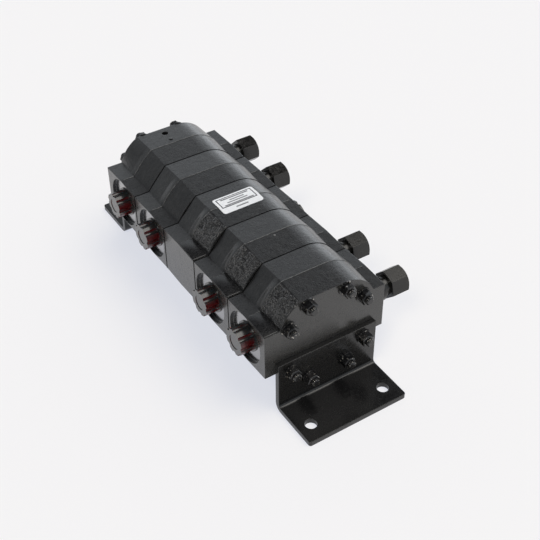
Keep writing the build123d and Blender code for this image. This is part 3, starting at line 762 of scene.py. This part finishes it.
ground_steel, tree, shader = finish("ground_steel", {"Metallic": 1.0})
lines = noise(tree, grinding_size, 2.0, 0.5, (1.0, 8.0, 1.0))
stain = noise(tree, stain_size, 3.0, 0.6)
feed(shader, {"Normal": bump(tree, lines, grinding_depth, 0.4),
              "Roughness": spread(tree, lines, noise_span, steel_roughness),
              "Base Color": shade(tree, stain, noise_span, steel_colours)})
dress(["front_quill", "middle_quill", "rear_quill", "relief_seats", "dowels"], ground_steel)
for k in gear_sections:
    dress([f"drive_gear_{k}", f"idler_gear_{k}", f"relief_poppet_{k}", f"relief_adjuster_{k}"],
          ground_steel)


# Behind each poppet sits a coil spring of oil-tempered wire, brown-black and smooth, held by the
# adjusting screw. It is drawn as two coils from its middle, one on the poppet's side and one on the
# screw's side.
spring_colours = ((0.10, 0.09, 0.085, 1), (0.2, 0.19, 0.18, 1))
spring_roughness = (0.28, 0.45)
drawn_size = 0.0015
wire_radius = 0.0009
wire_sides = 10
spring_turns = 3.5
spring_turn_points = 32
poppet_travel = 0.0025
adjuster_travel = 0.002

spring_wire, tree, shader = finish("spring_wire", {"Metallic": 1.0})
drawn = noise(tree, drawn_size, 3.0, 0.6)
feed(shader, {"Roughness": spread(tree, drawn, noise_span, spring_roughness),
              "Base Color": shade(tree, drawn, noise_span, spring_colours)})
dress([f"relief_spring_{k}" for k in gear_sections], spring_wire)

spring_group, given = new_group("relief_spring", (("Radius", "Float"), ("Turns", "Float"),
                                                  ("Length", "Float"), ("Wire", "Float")))
coil = add(spring_group, "GeometryNodeCurveSpiral",
           {"Resolution": spring_turn_points, "Rotations": given["Turns"],
            "Start Radius": given["Radius"], "End Radius": given["Radius"],
            "Height": given["Length"]}).outputs[0]
wire = add(spring_group, "GeometryNodeCurvePrimitiveCircle",
           {"Resolution": wire_sides, "Radius": given["Wire"]}).outputs[0]
coiled = add(spring_group, "GeometryNodeCurveToMesh",
             {"Curve": coil, "Profile Curve": wire, "Fill Caps": True}).outputs[0]
lying = add(spring_group, "GeometryNodeInstanceOnPoints",
            {"Points": given["Geometry"], "Instance": coiled,
             "Rotation": (0, math.pi / 2, 0)}).outputs[0]
close_group(spring_group, lying, spring_wire)
for k in gear_sections:
    low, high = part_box(f"relief_spring_{k}")
    middle = (low + high) / 2
    half = (high.x - low.x) / 2 - wire_radius
    for part, start, joint, travel in (
            ("inner", low.x + wire_radius, f"poppet_{k}_lift", poppet_travel),
            ("outer", middle.x, f"adjuster_{k}_travel", adjuster_travel)):
        seat = bpy.data.meshes.new("spring_seat")
        seat.from_pydata([(start, middle.y, middle.z)], [], [])
        piece = grow(f"spring_{part}_{k}", seat, spring_group,
                     {"Radius": (high.z - low.z) / 2 - wire_radius, "Turns": spring_turns,
                      "Length": half, "Wire": wire_radius})
        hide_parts(f"relief_spring_{k}")
        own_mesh(piece)


# The gears turn between bearing blocks of cast aluminium, faced on a mill, and each journal
# runs in a porous bronze bush that holds oil.
block_colours = ((0.5, 0.5, 0.51, 1), (0.64, 0.64, 0.65, 1))
block_roughness = (0.3, 0.46)
milling_size = 0.0012
milling_depth = 0.00004
bush_colours = ((0.42, 0.27, 0.12, 1), (0.6, 0.42, 0.2, 1))
bush_roughness = (0.35, 0.55)
pore_size = 0.0007
pore_depth = 0.00006

block_alloy, tree, shader = finish("block_alloy", {"Metallic": 1.0})
milling = noise(tree, milling_size, 2.0, 0.5, (1.0, 1.0, 5.0))
feed(shader, {"Normal": bump(tree, milling, milling_depth, 0.5),
              "Roughness": spread(tree, milling, noise_span, block_roughness),
              "Base Color": shade(tree, milling, noise_span, block_colours)})
dress([f"bearing_blocks_{k}" for k in gear_sections], block_alloy)

bush_bronze, tree, shader = finish("bush_bronze", {"Metallic": 1.0})
pores = noise(tree, pore_size, 4.0, 0.7)
feed(shader, {"Normal": bump(tree, pores, pore_depth, 0.6),
              "Roughness": spread(tree, pores, noise_span, bush_roughness),
              "Base Color": shade(tree, pores, (0.35, 0.6), bush_colours)})
dress([f"journal_bushes_{k}" for k in gear_sections], bush_bronze)


# Rubber rings lie in grooves between the castings, around the gear chambers and the gallery.
# They are moulded nitrile, matt black with a bloom of oil.
rubber_colours = ((0.012, 0.012, 0.012, 1), (0.03, 0.03, 0.031, 1))
rubber_roughness = (0.45, 0.7)
bloom_size = 0.0025

seal_rubber, tree, shader = finish("seal_rubber", {"Specular IOR Level": 0.35})
bloom = noise(tree, bloom_size, 3.0, 0.6)
feed(shader, {"Roughness": spread(tree, bloom, noise_span, rubber_roughness),
              "Base Color": shade(tree, bloom, noise_span, rubber_colours)})
dress(["chamber_seals", "gallery_seals"], seal_rubber)


# The ports are shut with shipping plugs, moulded in dark red polyethylene. They were in place
# when the stack was sprayed, so black lies on their ends and tops and red shows underneath.
plug_colours = ((0.045, 0.003, 0.004, 1), (0.085, 0.006, 0.008, 1))
groove_depth = 0.0018
spray_colour = (0.02, 0.02, 0.021, 1)
plug_roughness = (0.14, 0.28)
cloud_size = 0.006
scuff_size = 0.0012
scuff_depth = 0.00008
end_share = 1.2
top_share = 0.5
rib_share = 0.45
cloud_share = 0.4
spray_span = (0.35, 0.6)

plug_plastic, tree, shader = finish("plug_plastic", {"Specular IOR Level": 0.5,
                                                     "Subsurface Weight": 0.15,
                                                     "Subsurface Scale": 0.002,
                                                     "Coat Weight": 0.4,
                                                     "Coat Roughness": 0.12})
cloud = noise(tree, cloud_size, 3.0, 0.55)
scuff = noise(tree, scuff_size, 3.0, 0.6)
here = position(tree)
along = 1.0
for k in gear_sections:
    low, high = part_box(f"port_plug_{k}")
    gap = combine(tree, "SUBTRACT", here["Y"], (low.y + high.y) / 2)
    along = combine(tree, "MINIMUM", along, magnitude(tree, gap))
plug_radius = (high.z - low.z) / 2
risen = combine(tree, "SUBTRACT", here["Z"], (low.z + high.z) / 2)
radius = combine(tree, "SQRT", combine(tree, "ADD", combine(tree, "MULTIPLY", along, along),
                                       combine(tree, "MULTIPLY", risen, risen)), 0.0)
on_rib = spread(tree, radius, (plug_radius - groove_depth, plug_radius - groove_depth / 3),
                (0, 1))
facing = direction_faced(tree)
hit = 0.0
for amount, share in ((magnitude(tree, facing["X"]), end_share), (facing["Z"], top_share),
                      (on_rib, rib_share), (cloud, cloud_share)):
    hit = combine(tree, "ADD", hit, combine(tree, "MULTIPLY", amount, share))
sprayed = spread(tree, hit, spray_span, (0, 1))
red = shade(tree, cloud, noise_span, plug_colours)
feed(shader, {"Normal": bump(tree, scuff, scuff_depth, 0.35),
              "Roughness": spread(tree, scuff, noise_span, plug_roughness),
              "Base Color": tinted(tree, sprayed, red, spray_colour)})
dress([f"port_plug_{k}" for k in gear_sections] + ["inlet_plug"], plug_plastic)


# The plate on the crown of the inlet casting is white polyester, printed with a plain ruled frame
# and grey bars where an owner's entries would go. Nothing is written on it.
label_low, label_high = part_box("label_plate")
label_centre = (label_low + label_high) / 2
label_half = (label_high - label_low) / 2
rule_width = 0.0013
frame_lift = 0.24
frame_share = (0.88, 0.6)
blank_fields = ((0, 0.62, 0.68, 0.075), (0.04, 0.34, 0.36, 0.065), (0, 0.08, 0.5, 0.065),
                (0.02, -0.18, 0.72, 0.07), (0, -0.66, 0.3, 0.065))
paper_colours = ((0.78, 0.80, 0.84, 1), (0.86, 0.87, 0.9, 1))
ink_colour = (0.03, 0.032, 0.04, 1)
field_colour = (0.2, 0.205, 0.22, 1)
fleck_size = 0.003
label_roughness = (0.25, 0.38)

label_print, tree, shader = finish("label_print", {"Specular IOR Level": 0.5,
                                                   "Coat Weight": 0.3})
here = position(tree)


def field(lift, half_x, half_y, across=0.0):
    return combine(tree, "MULTIPLY", within(tree, here["X"], label_centre.x + across, half_x),
                   within(tree, here["Y"], label_centre.y + lift, half_y))


frame_half = (frame_share[0] * label_half.x, frame_share[1] * label_half.y)
lift = frame_lift * label_half.y
ink = combine(tree, "SUBTRACT", field(lift, *frame_half),
              field(lift, *(size - rule_width for size in frame_half)))
filled = 0.0
for across, lift, half_x, half_y in blank_fields:
    bar = field(lift * label_half.y, half_x * label_half.x, half_y * label_half.y,
                across * label_half.x)
    filled = combine(tree, "MAXIMUM", filled, bar)
fleck = noise(tree, fleck_size, 3.0, 0.6)
paper_tone = tinted(tree, filled, shade(tree, fleck, noise_span, paper_colours), field_colour)
feed(shader, {"Base Color": tinted(tree, ink, paper_tone, ink_colour),
              "Roughness": spread(tree, fleck, noise_span, label_roughness)})
dress(["label_plate"], label_print)


# A round-headed drive screw is hammered into the crown of the rear casting, bare plated steel
# under a thin mist of the black spray.
screw_colours = ((0.05, 0.05, 0.05, 1), (0.22, 0.22, 0.22, 1))
screw_roughness = (0.25, 0.45)
mist_size = 0.0009

plated_steel, tree, shader = finish("plated_steel", {"Metallic": 1.0})
mist = noise(tree, mist_size, 3.0, 0.6)
feed(shader, {"Roughness": spread(tree, mist, noise_span, screw_roughness),
              "Base Color": shade(tree, mist, (0.4, 0.6), screw_colours)})
dress(["drive_screw"], plated_steel)
